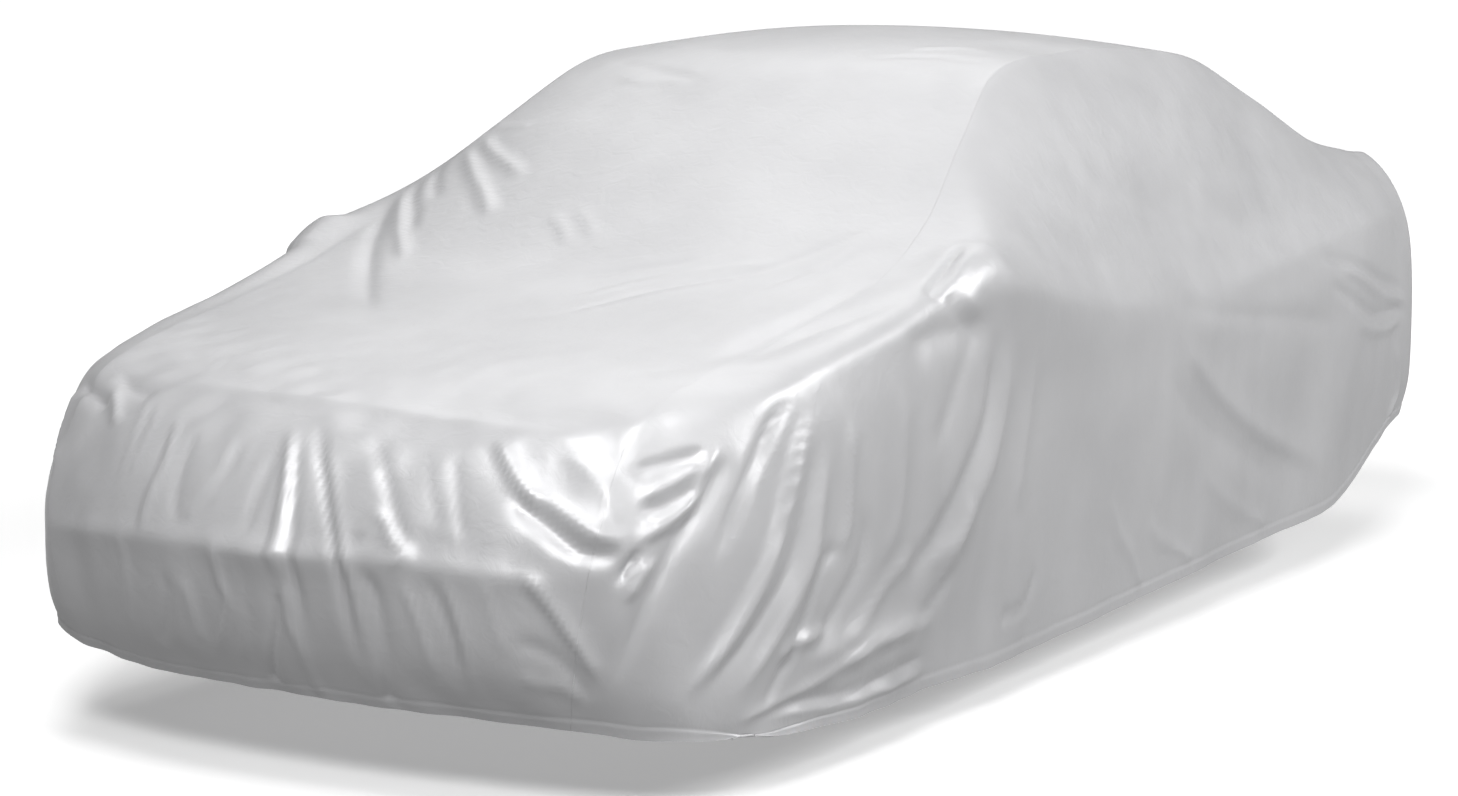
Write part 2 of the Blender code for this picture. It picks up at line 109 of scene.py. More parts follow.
# One row per fold or crease, listed one by one. Four places along it, each (station, across):
# station 0..20 from front hem to rear hem, across 0 centre line, 1 left seam, 2 left hem,
# negative on the right. width and height in metres, a negative height is a trough, and
# skew makes one flank steeper than the other.
FOLDS = [
    # name               s0      c0      s1      c1      s2      c2      s3      c3     width  height  skew
    ("nose_fine_1",    4.25,  -0.69,   3.80,  -0.65,   3.40,  -0.63,   3.10,  -0.64, 0.012,  0.004,  0.0),
    ("nose_fine_2",    4.20,  -0.62,   3.80,  -0.59,   3.50,  -0.59,   3.20,  -0.59, 0.012,  0.004,  0.0),
    ("nose_a",         4.10,  -0.51,   3.50,  -0.46,   2.95,  -0.48,   2.40,  -0.49, 0.014,  0.009,  0.3),
    ("nose_b",         4.00,  -0.39,   3.50,  -0.38,   3.10,  -0.37,   2.60,  -0.35, 0.014, -0.006,  0.0),
    ("nose_c",         3.95,  -0.23,   3.45,  -0.23,   3.05,  -0.28,   2.70,  -0.32, 0.014,  0.006,  0.0),
    ("nose_d",         3.90,  -0.15,   3.50,  -0.16,   3.20,  -0.20,   3.00,  -0.24, 0.012,  0.005,  0.0),
    ("nose_e",         3.80,  -0.05,   3.40,  -0.06,   3.00,  -0.07,   2.60,  -0.09, 0.014, -0.008,  0.0),
    ("pleat_a",        4.15,  -0.06,   3.50,   0.02,   2.75,   0.04,   1.85,   0.04, 0.016,  0.014,  0.3),
    ("pleat_b",        4.10,  -0.02,   3.25,   0.07,   2.30,   0.10,   1.10,   0.12, 0.014, -0.013,  0.0),
    ("pleat_c",        4.30,   0.01,   3.35,   0.17,   2.20,   0.27,   0.70,   0.30, 0.016, -0.014,  0.2),
    ("pleat_c_lip",    4.10,   0.07,   3.30,   0.20,   2.15,   0.30,   0.90,   0.34, 0.018,  0.010, -0.2),
    ("pleat_d",        4.15,   0.23,   3.55,   0.35,   3.00,   0.43,   2.60,   0.47, 0.018, -0.008,  0.0),
    ("pleat_e",        3.90,   0.45,   3.50,   0.49,   3.20,   0.53,   2.95,   0.55, 0.014, -0.003,  0.0),
    ("pleat_f",        3.90,   0.52,   3.50,   0.57,   3.10,   0.61,   2.80,   0.64, 0.014, -0.004,  0.0),
    ("lump_1",         2.70,   0.31,   2.95,   0.34,   3.10,   0.36,   2.90,   0.41, 0.016,  0.009,  0.0),
    ("lump_2",         3.05,   0.39,   2.75,   0.43,   2.55,   0.47,   2.30,   0.42, 0.016,  0.008,  0.0),
    ("skirt_a",        2.50,  -0.58,   1.80,  -0.59,   1.35,  -0.62,   0.80,  -0.68, 0.014,  0.005,  0.0),
    ("skirt_b",        1.90,  -0.39,   1.50,  -0.41,   1.10,  -0.46,   0.60,  -0.56, 0.016, -0.007,  0.0),
    ("skirt_c",        1.85,  -0.33,   1.50,  -0.32,   1.15,  -0.32,   0.80,  -0.33, 0.014,  0.006,  0.0),
    ("skirt_d",        2.50,  -0.18,   1.90,  -0.18,   1.40,  -0.17,   0.60,  -0.30, 0.014,  0.009,  0.2),
    ("skirt_e",        2.25,  -0.10,   1.60,  -0.12,   1.10,  -0.14,   0.40,  -0.20, 0.014,  0.006,  0.0),
    ("skirt_f",        1.80,   0.04,   1.40,   0.02,   0.90,  -0.03,   0.30,  -0.10, 0.012, -0.010,  0.0),
    ("skirt_g",        2.00,   0.08,   1.45,   0.06,   0.95,   0.08,   0.20,   0.07, 0.014,  0.008,  0.0),
    ("skirt_h",        2.30,   0.34,   1.80,   0.39,   1.20,   0.40,   0.25,   0.36, 0.016, -0.009,  0.2),
    ("skirt_i",        2.20,   0.47,   1.70,   0.51,   1.30,   0.54,   0.75,   0.56, 0.014,  0.006,  0.0),
    ("skirt_j",        2.25,   0.54,   1.80,   0.59,   1.35,   0.63,   0.70,   0.66, 0.014, -0.005,  0.0),
    ("skirt_k",        2.30,   0.59,   1.70,   0.64,   1.20,   0.67,   0.40,   0.67, 0.014,  0.007,  0.2),
    ("skirt_l",        2.30,   0.71,   1.90,   0.74,   1.55,   0.77,   1.20,   0.80, 0.016,  0.004,  0.0),
    ("corner_a",       2.45,   0.80,   2.00,   0.90,   1.50,   1.00,   0.95,   1.16, 0.018,  0.013,  0.3),
    ("corner_b",       1.45,   0.80,   1.35,   0.92,   1.00,   1.02,   0.65,   1.11, 0.020, -0.008,  0.0),
    ("corner_c",       1.00,   0.82,   0.90,   0.90,   0.85,   0.98,   0.60,   1.07, 0.018,  0.006,  0.0),
    ("swag_a",         4.10,   0.62,   3.70,   0.70,   3.45,   0.76,   3.20,   0.84, 0.018,  0.014,  0.3),
    ("swag_b",         3.40,   0.72,   3.05,   0.85,   2.70,   0.98,   2.75,   1.11, 0.022, -0.016,  0.0),
    ("swag_c",         3.40,   0.80,   3.10,   0.92,   2.90,   1.01,   2.80,   1.11, 0.022,  0.014,  0.0),
    ("swag_d",         3.80,   1.23,   3.40,   1.25,   3.10,   1.21,   2.80,   1.11, 0.016,  0.018, -0.3),
    ("swag_valley",    3.70,   1.28,   3.25,   1.25,   2.45,   1.22,   0.95,   1.19, 0.022, -0.017,  0.0),
    ("lamp_a",         3.55,   1.04,   3.60,   1.10,   3.65,   1.17,   3.70,   1.23, 0.018, -0.014,  0.0),
    ("lamp_b",         3.30,   1.09,   3.40,   1.15,   3.50,   1.19,   3.60,   1.22, 0.014,  0.011,  0.0),
    ("lamp_c",         3.20,   1.09,   3.20,   1.15,   3.30,   1.20,   3.40,   1.23, 0.014, -0.012,  0.0),
    ("lamp_d",         3.00,   1.13,   3.10,   1.17,   3.20,   1.21,   3.30,   1.23, 0.014,  0.008,  0.0),
    ("lamp_e",         3.85,   0.83,   3.60,   0.93,   3.30,   1.01,   2.95,   1.07, 0.024,  0.007,  0.0),
    ("slit",           2.75,   1.14,   2.60,   1.12,   2.50,   1.11,   2.30,   1.10, 0.012, -0.018,  0.0),
    ("slit_lip",       2.65,   1.19,   2.50,   1.18,   2.30,   1.17,   2.10,   1.15, 0.014,  0.012,  0.0),
    ("wing_a",         4.60,   1.31,   3.90,   1.36,   3.40,   1.36,   2.70,   1.38, 0.016, -0.012, -0.2),
    ("wing_b",         4.60,   1.40,   3.50,   1.51,   2.10,   1.54,   0.90,   1.50, 0.020,  0.017,  0.3),
    ("wing_b2",        4.35,   1.49,   3.35,   1.59,   2.15,   1.60,   1.00,   1.56, 0.018, -0.012,  0.0),
    ("wing_c",         4.50,   1.49,   3.55,   1.63,   2.30,   1.68,   1.00,   1.68, 0.026,  0.014,  0.2),
    ("wing_d",         4.90,   1.48,   4.45,   1.59,   4.10,   1.68,   3.70,   1.72, 0.016,  0.010,  0.2),
    ("wing_e",         3.90,   1.71,   3.30,   1.69,   2.40,   1.75,   1.05,   1.82, 0.018, -0.013,  0.0),
    ("wing_f",         4.45,   1.67,   4.10,   1.76,   3.40,   1.79,   2.60,   1.80, 0.022, -0.010,  0.0),
    ("wing_g",         5.25,   1.80,   4.50,   1.82,   3.80,   1.85,   3.20,   1.85, 0.020,  0.010,  0.0),
    ("arch_a",         3.10,   1.80,   2.70,   1.78,   2.30,   1.75,   1.90,   1.74, 0.018,  0.012,  0.0),
    ("arch_b",         5.50,   1.90,   4.70,   1.90,   3.90,   1.89,   2.90,   1.88, 0.020,  0.015,  0.3),
    ("arch_c",         5.25,   1.95,   4.30,   1.95,   2.60,   1.93,   0.55,   1.80, 0.018, -0.010,  0.0),
    ("arch_d",         5.30,   1.97,   3.90,   1.97,   2.20,   1.94,   0.90,   1.87, 0.016,  0.008,  0.0),
    ("arch_e",         3.90,   1.89,   2.90,   1.88,   1.70,   1.86,   0.60,   1.76, 0.016,  0.009,  0.0),
    ("arch_f",         6.10,   1.84,   5.45,   1.88,   4.60,   1.91,   3.60,   1.90, 0.020, -0.009,  0.0),
    ("flank_a",        7.20,   1.45,   6.70,   1.52,   6.25,   1.60,   5.70,   1.67, 0.030, -0.008,  0.0),
    ("flank_b",        7.50,   1.48,   6.80,   1.66,   5.75,   1.78,   4.60,   1.85, 0.030, -0.014,  0.2),
    ("flank_b2",       7.70,   1.50,   7.20,   1.67,   6.30,   1.79,   5.30,   1.88, 0.034,  0.010,  0.0),
    ("flank_c",        8.25,   1.55,   7.90,   1.68,   7.70,   1.75,   7.50,   1.82, 0.034,  0.007,  0.0),
    ("flank_d",        6.40,   1.75,   6.25,   1.80,   5.80,   1.82,   5.25,   1.84, 0.024,  0.008,  0.0),
    ("flank_e",        8.10,   1.89,   7.95,   1.92,   7.60,   1.94,   7.10,   1.94, 0.018, -0.006,  0.0),
    ("flank_f",        5.75,   1.48,   5.35,   1.63,   4.90,   1.74,   4.20,   1.80, 0.030,  0.006,  0.0),
    ("door_a",         9.70,   1.83,   9.90,   1.89,  10.15,   1.93,  10.30,   1.97, 0.022,  0.006,  0.0),
    ("door_b",        10.40,   1.88,  10.60,   1.92,  10.85,   1.94,  11.15,   1.97, 0.020,  0.005,  0.0),
    ("door_sweep",    10.90,   1.58,  11.45,   1.71,  12.30,   1.82,  13.90,   1.93, 0.038,  0.012,  0.3),
    ("door_sweep_2",  10.60,   1.64,  11.10,   1.74,  11.85,   1.83,  13.00,   1.93, 0.050, -0.008,  0.0),
    ("door_c",        11.25,   1.84,  11.60,   1.89,  12.00,   1.93,  12.50,   1.97, 0.026,  0.005,  0.0),
    ("belt_low",      10.85,   1.41,  11.50,   1.48,  12.75,   1.59,  14.00,   1.68, 0.030, -0.005,  0.0),
    ("tail_a",        13.20,   1.36,  13.90,   1.45,  15.20,   1.57,  16.85,   1.61, 0.016, -0.009,  0.0),
    ("tail_b",        13.65,   1.44,  14.50,   1.55,  15.60,   1.62,  16.90,   1.62, 0.016,  0.009,  0.0),
    ("tail_c",        13.50,   1.51,  14.20,   1.61,  15.30,   1.67,  16.90,   1.64, 0.016, -0.009,  0.0),
    ("tail_d",        14.30,   1.67,  15.00,   1.70,  15.75,   1.71,  16.40,   1.68, 0.018,  0.008,  0.0),
    ("tail_e",        16.20,   1.74,  17.00,   1.81,  17.40,   1.89,  17.20,   1.95, 0.020,  0.008,  0.0),
    ("cabin_a",       10.20,   1.19,  10.85,   1.21,  11.55,   1.25,  12.40,   1.28, 0.040, -0.006,  0.2),
    ("cabin_b",       11.70,   1.18,  12.50,   1.20,  13.80,   1.20,  15.05,   1.19, 0.034, -0.005,  0.0),
    ("mirror_fold",    7.85,   1.17,   7.45,   1.20,   7.00,   1.25,   6.70,   1.30, 0.014, -0.013,  0.2),
    ("mirror_lip",     7.75,   1.22,   7.40,   1.26,   7.00,   1.30,   6.80,   1.32, 0.014,  0.009,  0.0),
    ("mirror_shade",   7.55,   1.45,   6.90,   1.44,   6.45,   1.41,   6.00,   1.40, 0.036, -0.012,  0.0),
    ("screen_a",       8.00,  -1.06,   7.35,  -0.88,   6.75,  -0.66,   6.10,  -0.36, 0.026, -0.009,  0.0),
    ("screen_b",       8.20,  -1.09,   7.75,  -0.91,   7.40,  -0.76,   7.10,  -0.63, 0.018,  0.007,  0.0),
    ("screen_c",       8.35,  -1.07,   8.05,  -0.98,   7.80,  -0.86,   7.50,  -0.76, 0.016, -0.007,  0.0),
    ("screen_d",       8.50,  -1.04,   8.35,  -1.00,   8.15,  -0.91,   8.00,  -0.82, 0.016, -0.006,  0.0),
    ("screen_e",       8.65,  -1.01,   8.40,  -0.84,   8.10,  -0.64,   7.80,  -0.48, 0.018,  0.009,  0.0),
    ("screen_f",       8.80,  -1.00,   8.60,  -0.84,   8.45,  -0.68,   8.30,  -0.53, 0.016,  0.008,  0.0),
    ("screen_g",       8.90,  -0.99,   8.90,  -0.96,   8.90,  -0.85,   8.90,  -0.77, 0.014,  0.004,  0.0),
    ("header_a",       9.90,  -0.83,   9.75,  -0.55,   9.60,  -0.33,   9.50,  -0.14, 0.018, -0.005,  0.0),
    ("header_b",      10.40,  -0.83,  10.25,  -0.61,  10.10,  -0.41,  10.00,  -0.23, 0.018,  0.005,  0.0),
    ("header_c",       9.60,  -0.64,   9.50,  -0.47,   9.50,  -0.34,   9.50,  -0.21, 0.016,  0.004,  0.0),
    ("cowl_a",         6.30,   0.18,   6.90,   0.34,   7.30,   0.63,   8.00,   0.89, 0.016, -0.004,  0.0),
    ("cowl_b",         7.05,   0.01,   7.15,   0.14,   7.30,   0.28,   7.40,   0.41, 0.014, -0.003,  0.0),
    ("cowl_c",         6.90,   0.69,   7.10,   0.76,   7.40,   0.82,   7.75,   0.86, 0.016,  0.004,  0.0),
    ("cowl_d",         6.70,   0.12,   7.05,   0.28,   7.30,   0.49,   7.40,   0.72, 0.014,  0.003,  0.0),
    ("cowl_e",         7.90,  -0.28,   7.80,  -0.21,   7.70,  -0.16,   7.50,  -0.09, 0.014,  0.004,  0.0),
    ("cowl_f",         8.00,  -0.20,   7.85,  -0.12,   7.75,  -0.07,   7.60,  -0.01, 0.014,  0.003,  0.0),
    ("tongue_edge",    7.30,   0.98,   6.70,   0.97,   6.00,   0.96,   5.40,   0.96, 0.034, -0.010,  0.2),
    ("roof_a",        10.00,   0.45,  10.10,   0.59,  10.15,   0.75,  10.10,   0.92, 0.016, -0.003,  0.0),
    ("roof_b",         9.85,   0.59,   9.85,   0.70,   9.80,   0.81,   9.80,   0.90, 0.014, -0.003,  0.0),
    ("roof_c",        10.30,   0.54,  10.40,   0.63,  10.50,   0.74,  10.40,   0.90, 0.016,  0.003,  0.0),
    ("lampR_a",        4.00,  -1.14,   3.95,  -0.95,   3.90,  -0.89,   3.90,  -0.84, 0.020, -0.016,  0.0),
    ("lampR_b",        4.10,  -0.89,   3.95,  -0.81,   3.80,  -0.77,   3.70,  -0.76, 0.016,  0.012,  0.0),
    ("lampR_c",        4.40,  -0.92,   4.25,  -0.81,   4.20,  -0.72,   4.20,  -0.67, 0.022, -0.008,  0.0),
    ("lampR_d",        3.90,  -1.12,   3.60,  -1.11,   3.30,  -1.06,   3.05,  -0.98, 0.020,  0.012,  0.3),
    ("hood_valley",    6.85,   1.25,   6.40,   1.17,   5.95,   1.07,   5.40,   1.01, 0.060, -0.012,  0.0),
    ("arch_patch",     2.20,   1.81,   3.15,   1.85,   4.30,   1.89,   5.30,   1.90, 0.045,  0.014, -0.3),
    ("hood_edge",      4.40,  -0.88,   4.60,  -0.14,   4.35,   0.49,   3.75,   1.03, 0.030,  0.006,  0.0),
]

# One row per broad fold, with three places along it: the bumper's ledge, the wing, mirrors
# and belt line that press through the cloth, and the hidden right side and rear.
BROAD_FOLDS = [
    # name             s0     c0     s1    c1     s2    c2    width  height  skew
    ("ledge_left",     2.3, -0.30,  2.4,  0.40,  2.2,  1.00,  0.038,  0.013, -0.2),
    ("ledge_right",    2.3,  0.30,  2.4, -0.40,  2.2, -1.10,  0.038,  0.013,  0.2),
    ("mirror_left",    6.9,  1.42,  7.5,  1.30,  8.1,  1.20,  0.085,  0.024,  0.0),
    ("mirror_right",   7.0, -1.38,  7.5, -1.32,  8.0, -1.24,  0.100,  0.030,  0.0),
    ("wing_ridge",     3.9,  1.25,  5.4,  1.31,  7.1,  1.36,  0.050,  0.010,  0.2),
    ("belt_front",     7.4,  1.38,  9.2,  1.40, 11.4,  1.41,  0.060,  0.009,  0.2),
    ("belt_rear",     11.2,  1.41, 13.4,  1.36, 16.8,  1.34,  0.055,  0.011,  0.2),
    ("cabin_fold",    10.6,  1.16, 12.2,  1.27, 14.0,  1.27,  0.080, -0.006,  0.0),
    ("right_wing",     4.4, -1.48,  2.8, -1.52,  0.8, -1.50,  0.070,  0.014,  0.0),
    ("right_arch",     5.6, -1.44,  5.2, -1.66,  4.2, -1.94,  0.080, -0.014,  0.0),
    ("right_door",     7.4, -1.44,  7.2, -1.70,  6.6, -1.95,  0.090,  0.014,  0.0),
    ("right_sweep",   11.0, -1.46, 11.6, -1.74, 13.4, -1.94,  0.100,  0.012,  0.0),
    ("right_tail",    14.6, -1.36, 15.6, -1.56, 17.0, -1.72,  0.080, -0.010,  0.0),
    ("rear_right",    17.4, -0.45, 18.6, -0.48, 19.8, -0.52,  0.080,  0.012,  0.0),
    ("rear_middle",   17.3,  0.10, 18.6,  0.08, 19.8,  0.04,  0.090, -0.010,  0.0),
    ("rear_left",     17.4,  0.62, 18.6,  0.66, 19.8,  0.72,  0.080,  0.012,  0.0),
]
HIDDEN_LIKE = ("wing_", "flank_", "door_", "arch_", "tail_")   # folds that the right side echoes
REAR_LIKE = ("pleat_", "skirt_")                               # folds that the rear echoes

def spline_weights(places, count):
    """Catmull-Rom weights of `count` control rows at each of the places."""
    places = np.asarray(places, float)
    base = np.clip(places.astype(int), 0, count - 2)
    f = places - base
    weights = [
        0.5 * (-f + 2 * f**2 - f**3),
        0.5 * (2 - 5 * f**2 + 3 * f**3),
        0.5 * (f + 4 * f**2 - 3 * f**3),
        0.5 * (f**3 - f**2),
    ]
    out = np.zeros((len(places), count + 2))
    for step, weight in enumerate(weights):
        out[np.arange(len(places)), base + step] += weight
    out[:, 1] += 2 * out[:, 0]
    out[:, 2] -= out[:, 0]
    out[:, -2] += 2 * out[:, -1]
    out[:, -3] -= out[:, -1]
    return out[:, 1:-1]


def section_curve(row, across):
    """One cross-section from the centre line (0) over the seam (1) down to the hem (2)."""
    yc, zc, xs, ys, zs = row[1:6]
    seam = np.array([xs, ys, zs])
    side = np.array(row[6:]).reshape(3, 3)
    u = np.clip(across, 0, 1)
    rise = u**CROWN
    top = np.stack([xs * u, yc + (ys - yc) * rise, zc + (zs - zc) * rise], -1)
    inner_rise = 0.9**CROWN
    inner = np.array([xs * 0.9, yc + (ys - yc) * inner_rise, zc + (zs - zc) * inner_rise])
    drop = seam - inner
    reach = 0.8 * np.linalg.norm(side[0] - seam)
    lead = seam - drop / np.linalg.norm(drop) * reach
    control = np.vstack([lead, seam, side])
    down = spline_weights(1 + 3 * np.clip(across - 1, 0, 1), 5) @ control
    return np.where((across <= 1)[:, None], top, down)


def lean(points):
    """The cover sits unevenly: its right wing is lower, its right front hem higher."""
    x, y, z = points[..., 0], points[..., 1], points[..., 2]
    right = np.clip(-x / 0.9, 0, 1)**2
    wing = right * np.exp(-((y + 1.35) / 0.55)**2)
    near = np.exp(-((x + 0.85)**2 + (y + 1.95)**2) / 0.30**2)
    low = np.clip(1 - z / 0.4, 0, 1)
    moved = points.copy()
    moved[..., 0] += 0.025 * wing
    moved[..., 2] -= 0.020 * wing * np.clip(z / 0.9, 0, 1)
    moved[..., 2] += 0.060 * near * np.clip(1 - (z - 0.15) / 0.4, 0, 1)
    moved[..., 2] -= 0.022 * x * low
    return moved


def surface(stations, across):
    """Grid of points of the smooth cover, one row per station, one column per place across."""
    across = np.asarray(across, float)
    curves = np.stack([section_curve(row, np.abs(across)) for row in SECTIONS])
    curves[..., 0] *= np.sign(across)[None, :]
    return lean(np.einsum("ij,jkl->ikl", spline_weights(stations, len(SECTIONS)), curves))


def normals(grid):
    """Outward unit normals of a grid of points."""
    along = np.gradient(grid, axis=0)
    side = np.gradient(grid, axis=1)
    facing = np.cross(side, along)
    return facing / np.linalg.norm(facing, axis=2, keepdims=True)


def fold_path(row):
    """Points along one fold, on the smooth cover."""
    knots = np.array(row[1:-3]).reshape(-1, 2)
    places = spline_weights(np.linspace(0, len(knots) - 1, PATH_POINTS), len(knots)) @ knots
    places = np.clip(places, (0, -2), (PLACES, 2))
    return np.stack([surface([s], [c])[0, 0] for s, c in places])


def hidden_folds():
    """Folds of the unseen right side and rear: weaker echoes of the left side and the nose."""
    echoes = []
    for row in FOLDS:
        places = np.array(row[1:9]).reshape(4, 2)
        width, height, skew = row[9:]
        if row[0].startswith(HIDDEN_LIKE) and places[:, 1].min() > 1.05:
            moved = places * (0.97, -1.0) + (0.45, 0.0)
        elif row[0].startswith(REAR_LIKE) and abs(places[:, 1]).max() < 1.1:
            moved = (PLACES, 0.0) + places * (-0.78, -0.85)
        else:
            continue
        echoes.append((row[0] + "_echo", *moved.ravel(),
                       width * ECHO_WIDTH, height * ECHO_HEIGHT, -skew))
    return echoes


def fold_height(points, facing, row):
    """How far one fold moves each point outwards: a round ridge with a faint hollow on each side.

    It rises at its start and dies away at its end, unless it runs out over a hem.
    """
    width, height, skew = row[-3:]
    path = fold_path(row)
    reach = 4.0 * width
    low, high = path.min(axis=0) - reach, path.max(axis=0) + reach
    near = np.flatnonzero(np.all((points > low) & (points < high), axis=1))
    if not len(near):
        return np.zeros(len(points))
    local, up = points[near], facing[near]
    nearest = np.full(len(near), 1e9)
    place = np.zeros(len(near))
    side = np.zeros(len(near))
    for k in range(len(path) - 1):
        step = path[k + 1] - path[k]
        t = np.clip(((local - path[k]) @ step) / (step @ step), 0, 1)
        offset = local - path[k] - t[:, None] * step
        away = np.linalg.norm(offset, axis=1)
        closer = away < nearest
        nearest = np.where(closer, away, nearest)
        place = np.where(closer, (k + t) / (len(path) - 1), place)
        turn = np.einsum("ij,ij->i", np.cross(step, offset), up)
        side = np.where(closer, np.sign(turn), side)
    ends_at_hem = not 0.3 < row[-5] < PLACES - 0.3 or abs(row[-4]) > 1.93
    fade_in = np.clip(place / TAPER, 0, 1)
    fade_out = np.ones(len(near)) if ends_at_hem else np.clip((1 - place) / TAPER, 0, 1)
    taper = fade_in * fade_out
    taper = taper * taper * (3 - 2 * taper)
    wide = width * (1 + skew * side)
    ridge = np.exp(-np.abs(nearest / wide)**1.6) - 0.28 * np.exp(-(nearest / (2.3 * width))**2)
    out = np.zeros(len(points))
    out[near] = height * taper * ridge
    return out


def spread(low, high, count, axis, weight=None):
    """`count` places from low to high, evenly spaced over the cloth, or denser where weight is high."""
    fine = np.linspace(low, high, 801)
    if axis == "along":
        grid = surface(fine, [0.0, 0.7, 1.3])
        steps = np.linalg.norm(np.diff(grid, axis=0), axis=2).mean(axis=1)
    else:
        grid = surface(np.arange(2.0, 19.0), fine)
        steps = np.linalg.norm(np.diff(grid, axis=1), axis=2).mean(axis=0)
    if weight is not None:
        steps = steps * weight((fine[1:] + fine[:-1]) / 2)
    reached = np.concatenate([[0.0], np.cumsum(steps)])
    return np.interp(np.linspace(0, reached[-1], count), reached, fine)


def ripple(points, rng, count, low, high, stretch):
    """Sum of soft waves with random directions; stretch (x, y, z) makes them longer one way."""
    total = np.zeros(points.shape[:-1])
    for _ in range(count):
        direction = rng.normal(size=3) * np.array(stretch)
        direction *= rng.uniform(1 / high, 1 / low) / np.linalg.norm(direction) * 2 * np.pi
        total += np.sin(points @ direction + rng.uniform(0, 6.283))
    return total / math.sqrt(count)


def smooth_step(x, low, high):
    t = np.clip((x - low) / (high - low), 0, 1)
    return t * t * (3 - 2 * t)


def loose_cloth(grid):
    """Small unevenness of loose cloth: soft ribs that hang down the sides and the nose."""
    rng = np.random.default_rng(11)
    hang = smooth_step(0.95 - grid[..., 2], 0.0, 0.35)
    ribs = ripple(grid, rng, 14, 0.09, 0.26, (1, 1, 0.16)) * RIB_HEIGHT
    broad = ripple(grid, rng, 12, 0.30, 0.80, (1, 1, 1)) * SWELL_HEIGHT
    doors = 1 - 0.65 * smooth_step(grid[..., 1], -0.9, -0.3)
    return ribs * hang * doors + broad * (0.3 + 0.7 * hang)


def hem_distance(grid):
    """Distance over the cloth from each point to the nearest hem."""
    along = np.linalg.norm(np.diff(grid, axis=0), axis=2)
    side = np.linalg.norm(np.diff(grid, axis=1), axis=2)
    from_front = np.concatenate([np.zeros((1, grid.shape[1])), np.cumsum(along, axis=0)])
    from_right = np.concatenate([np.zeros((grid.shape[0], 1)), np.cumsum(side, axis=1)], axis=1)
    to_rear, to_left = from_front[-1:] - from_front, from_right[:, -1:] - from_right
    return np.minimum(np.minimum(from_front, to_rear), np.minimum(from_right, to_left))


def cloth_lengths(grid):
    """Flat coordinates of the cloth in metres, across and along, for the weave."""
    across = np.linalg.norm(np.diff(grid, axis=1), axis=2).mean(axis=0)
    along = np.linalg.norm(np.diff(grid, axis=0), axis=2).mean(axis=1)
    u = np.concatenate([[0.0], np.cumsum(across)])
    v = np.concatenate([[0.0], np.cumsum(along)])
    return np.stack(np.broadcast_arrays(u[None, :], v[:, None]), -1)


def row_density(s):
    """Rows are closest together at the two hems, and closer over the nose than over the rest."""
    at_hem = (s < 0.35) | (s > PLACES - 0.3)
    return np.where(at_hem, 3.0, np.where(s < 7.5, 1.35, 0.85))


def cover_grid():
    """Outer points, places across and thickness over the whole cover, folds included."""
    along = spread(0.0, PLACES, ROWS, "along", row_density)
    top = spread(0.0, 1.0, TOP_COLUMNS // 2 + 1, "across")
    side = spread(1.0, 2.0, SIDE_COLUMNS, "across", lambda c: np.where(c > 1.95, 3.0, 1.0))
    half = np.concatenate([top, side[1:]])
    across = np.concatenate([-half[:0:-1], half])
    smooth = surface(along, across)
    facing = normals(smooth)
    flat, up = smooth.reshape(-1, 3), facing.reshape(-1, 3)
    folds = BROAD_FOLDS + FOLDS + hidden_folds()
    move = sum(fold_height(flat, up, row) for row in folds).reshape(smooth.shape[:2])
    from_hem = hem_distance(smooth)
    band = 1 - smooth_step(from_hem, HEM_WIDTH - 0.004, HEM_WIDTH + 0.002)
    stitches = np.exp(-((from_hem - HEM_WIDTH) / 0.004)**2)
    move = move + loose_cloth(smooth) + HEM_RISE * band - STITCH_DEPTH * stitches
    outer = smooth + facing * move[..., None] - np.array(REST)
    return outer, across, CLOTH + (HEM - CLOTH) * band


def panel_points(outer, across, low, high):
    """The points of one panel, its seam edges drawn back by half the gap, and its columns."""
    keep = (across >= low - 1e-6) & (across <= high + 1e-6)
    points = outer[:, keep].copy()
    first = points[:, 1] - points[:, 0]
    last = points[:, -2] - points[:, -1]
    if low > -2:
        points[:, 0] += first / np.linalg.norm(first, axis=1, keepdims=True) * GAP / 2
    if high < 2:
        points[:, -1] += last / np.linalg.norm(last, axis=1, keepdims=True) * GAP / 2
    return points, keep


def shell_quads(rows, cols):
    """Quads of a thin closed sheet: outer side, inner side, then the rims."""
    out = np.arange(rows * cols).reshape(rows, cols)
    inn = out + rows * cols
    front = np.stack([out[:-1, :-1], out[:-1, 1:], out[1:, 1:], out[1:, :-1]], -1).reshape(-1, 4)
    back = np.stack([inn[:-1, :-1], inn[1:, :-1], inn[1:, 1:], inn[:-1, 1:]], -1).reshape(-1, 4)
    rims = []
    for a, b, turn in ((out[:, 0], inn[:, 0], 1), (out[:, -1], inn[:, -1], -1),
                       (out[0], inn[0], -1), (out[-1], inn[-1], 1)):
        rim = np.stack([a[:-1], a[1:], b[1:], b[:-1]], -1)
        rims.append(rim[:, ::turn])
    return np.concatenate([front, back, *rims]), len(front) + len(back)


